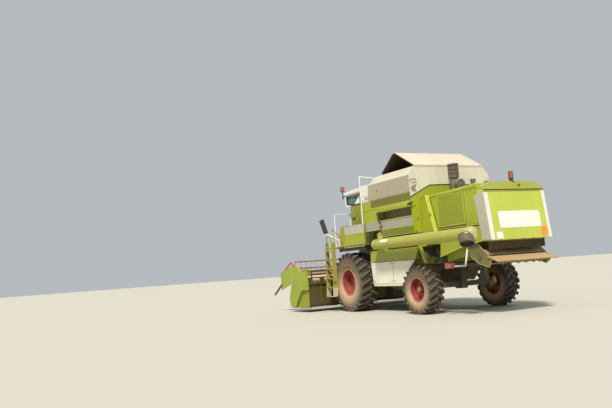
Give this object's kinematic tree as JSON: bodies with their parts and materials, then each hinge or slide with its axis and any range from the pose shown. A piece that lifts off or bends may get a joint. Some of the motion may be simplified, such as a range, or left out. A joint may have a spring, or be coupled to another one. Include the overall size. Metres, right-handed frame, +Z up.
{
  "type": "combine harvester",
  "caption": "Self-propelled grain harvester with header, reel, cab, raised tank covers, folded unloading auger, straw chopper and steered rear wheels.",
  "frame": {"origin": "middle of the bounding box at ground level", "axes": "+X forward towards the header, +Y to the left side with the ladder, +Z up"},
  "size_m": [10.18, 4.7, 4.53],
  "materials": {
    "chassis_dark": "dusty dark paint",
    "lime_paint": "dusty lime green paint",
    "yellow_green_paint": "dusty yellow green paint",
    "cream_paint": "faded cream paint",
    "grey_paint": "dusty light grey paint",
    "white_paint": "white paint",
    "red_paint": "dusty deep red paint",
    "bare_steel": "worn bare steel",
    "black_plastic": "matt black",
    "window_glass": "clear",
    "beacon_plastic": "orange lens",
    "lamp_plastic": "red lens",
    "tyre": "dusty rubber"
  },
  "bodies": {
    "machine": {"chassis_frame": "chassis_dark", "front_axle": "chassis_dark", "rear_axle": "chassis_dark", "threshing_body": "lime_paint", "rear_body": "lime_paint", "rear_hood": "lime_paint", "chopper_housing": "lime_paint", "engine_block": "chassis_dark", "grain_tank": "cream_paint", "tank_panels": "grey_paint", "filling_auger": "bare_steel", "cab_frame": "cream_paint", "cab_roof": "cream_paint", "cab_glass": "window_glass", "seat": "black_plastic", "steering_column": "black_plastic", "platform": "grey_paint", "ladder": "yellow_green_paint", "railings": "white_paint", "mirrors": "black_plastic", "beacons": "beacon_plastic", "lamps": "lamp_plastic", "intake_exhaust": "chassis_dark", "radiator_screen": "chassis_dark", "tow_hitch": "chassis_dark"},
    "wheel_front_left": {"tyre_front_left": "tyre", "rim_front_left": "red_paint"},
    "wheel_front_right": {"tyre_front_right": "tyre", "rim_front_right": "red_paint"},
    "knuckle_left": {"knuckle_left": "lime_paint"},
    "knuckle_right": {"knuckle_right": "lime_paint"},
    "wheel_rear_left": {"tyre_rear_left": "tyre", "rim_rear_left": "red_paint"},
    "wheel_rear_right": {"tyre_rear_right": "tyre", "rim_rear_right": "red_paint"},
    "steering_rod": {"steering_rod": "bare_steel"},
    "header": {"feeder_house": "lime_paint", "header_frame": "lime_paint", "knife_bar": "bare_steel", "dividers": "lime_paint"},
    "header_auger": {"header_auger": "grey_paint"},
    "reel_arms": {"reel_arms": "lime_paint"},
    "reel": {"reel": "red_paint"},
    "lift_barrels": {"lift_barrels": "bare_steel"},
    "lift_rods": {"lift_rods": "bare_steel"},
    "reel_barrels": {"reel_barrels": "bare_steel"},
    "reel_rods": {"reel_rods": "bare_steel"},
    "unloader": {"unloading_auger": "lime_paint", "auger_spout": "black_plastic"},
    "cab_door": {"cab_door": "lime_paint", "door_glass": "window_glass"},
    "cover_front": {"cover_front": "cream_paint"},
    "cover_rear": {"cover_rear": "cream_paint"},
    "deflector": {"deflector": "lime_paint"},
    "chopper_rotor": {"chopper_rotor": "bare_steel"},
    "shield_left": {"shield_left": "grey_paint"},
    "shield_right": {"shield_right": "grey_paint"},
    "side_door_left": {"side_door_left": "lime_paint"},
    "side_door_right": {"side_door_right": "lime_paint"}
  },
  "joints": [
    {"name": "front_wheel_left", "type": "hinge", "parent": "machine", "child": "wheel_front_left", "pos_m": [0.99, 1.27, 0.91], "axis": [0, 1, 0], "continuous": true},
    {"name": "front_wheel_right", "type": "hinge", "parent": "machine", "child": "wheel_front_right", "pos_m": [0.99, -1.27, 0.91], "axis": [0, 1, 0], "continuous": true},
    {"name": "steer_left", "type": "hinge", "parent": "machine", "child": "knuckle_left", "pos_m": [-2.51, 1.05, 0.65], "axis": [0, 0, 1], "range_deg": [-30, 30]},
    {"name": "steer_right", "type": "hinge", "parent": "machine", "child": "knuckle_right", "pos_m": [-2.51, -1.05, 0.65], "axis": [0, 0, 1], "range_deg": [-30, 30]},
    {"name": "steering_rod_slide", "type": "slide", "parent": "machine", "child": "steering_rod", "axis": [0, 1, 0], "range_m": [-0.101, 0.101]},
    {"name": "rear_wheel_left", "type": "hinge", "parent": "knuckle_left", "child": "wheel_rear_left", "pos_m": [-2.51, 1.305, 0.65], "axis": [0, 1, 0], "continuous": true},
    {"name": "rear_wheel_right", "type": "hinge", "parent": "knuckle_right", "child": "wheel_rear_right", "pos_m": [-2.51, -1.305, 0.65], "axis": [0, 1, 0], "continuous": true},
    {"name": "header_lift", "type": "hinge", "parent": "machine", "child": "header", "pos_m": [1.52, 0, 1.4], "axis": [0, -1, 0], "range_deg": [0, 22]},
    {"name": "lift_barrel_swing", "type": "hinge", "parent": "machine", "child": "lift_barrels", "pos_m": [1.11, 0, 0.7], "axis": [0, -1, 0], "range_deg": [0, 13.6]},
    {"name": "lift_rod_slide", "type": "slide", "parent": "lift_barrels", "child": "lift_rods", "axis": [0.9843, 0, -0.1767], "range_m": [0, 0.278]},
    {"name": "header_auger_spin", "type": "hinge", "parent": "header", "child": "header_auger", "pos_m": [2.84, 0, 0.52], "axis": [0, 1, 0], "continuous": true},
    {"name": "reel_lift", "type": "hinge", "parent": "header", "child": "reel_arms", "pos_m": [2.39, 0, 1.335], "axis": [0, -1, 0], "range_deg": [0, 20]},
    {"name": "reel_spin", "type": "hinge", "parent": "reel_arms", "child": "reel", "pos_m": [3.55, 0, 1.24], "axis": [0, 1, 0], "continuous": true},
    {"name": "reel_barrel_swing", "type": "hinge", "parent": "header", "child": "reel_barrels", "pos_m": [2.46, 0, 1.01], "axis": [0, -1, 0], "range_deg": [0, 13]},
    {"name": "reel_rod_slide", "type": "slide", "parent": "reel_barrels", "child": "reel_rods", "axis": [0.7809, 0, 0.6247], "range_m": [0, 0.098]},
    {"name": "unloader_swing", "type": "hinge", "parent": "machine", "child": "unloader", "pos_m": [-0.71, 1.25, 1.97], "axis": [0, 0, -1], "range_deg": [0, 100]},
    {"name": "cab_door_hinge", "type": "hinge", "parent": "machine", "child": "cab_door", "pos_m": [0.92, 0.928, 2.8], "axis": [0, 0, 1], "range_deg": [0, 60]},
    {"name": "cover_front_hinge", "type": "hinge", "parent": "machine", "child": "cover_front", "pos_m": [-0.87, 0, 4.016], "axis": [0, 1, 0], "range_deg": [0, 100]},
    {"name": "cover_rear_hinge", "type": "hinge", "parent": "machine", "child": "cover_rear", "pos_m": [-2.434, 0, 4.016], "axis": [0, -1, 0], "range_deg": [0, 100]},
    {"name": "deflector_tilt", "type": "hinge", "parent": "machine", "child": "deflector", "pos_m": [-4.745, 0, 1.385], "axis": [0, -1, 0], "range_deg": [0, 20]},
    {"name": "chopper_spin", "type": "hinge", "parent": "machine", "child": "chopper_rotor", "pos_m": [-4.46, 0, 1.41], "axis": [0, 1, 0], "continuous": true},
    {"name": "shield_left_hinge", "type": "hinge", "parent": "machine", "child": "shield_left", "pos_m": [-1.01, 1.284, 1.462], "axis": [1, 0, 0], "range_deg": [0, 75]},
    {"name": "shield_right_hinge", "type": "hinge", "parent": "machine", "child": "shield_right", "pos_m": [-1.01, -1.284, 1.462], "axis": [-1, 0, 0], "range_deg": [0, 75]},
    {"name": "side_door_left_hinge", "type": "hinge", "parent": "machine", "child": "side_door_left", "pos_m": [-4.144, 1.018, 2.655], "axis": [0, 0, 1], "range_deg": [0, 100]},
    {"name": "side_door_right_hinge", "type": "hinge", "parent": "machine", "child": "side_door_right", "pos_m": [-4.144, -1.018, 2.655], "axis": [0, 0, -1], "range_deg": [0, 100]}
  ],
  "couplings": [
    {"joint": "steer_right", "follows": "steer_left", "ratio": 1},
    {"joint": "steering_rod_slide", "follows": "steer_left", "m_per_rad": 0.191},
    {"joint": "lift_barrel_swing", "follows": "header_lift", "ratio": 0.60816},
    {"joint": "lift_rod_slide", "follows": "header_lift", "m_per_rad": 0.72124},
    {"joint": "reel_barrel_swing", "follows": "reel_lift", "ratio": 0.63824},
    {"joint": "reel_rod_slide", "follows": "reel_lift", "m_per_rad": 0.27831}
  ]
}
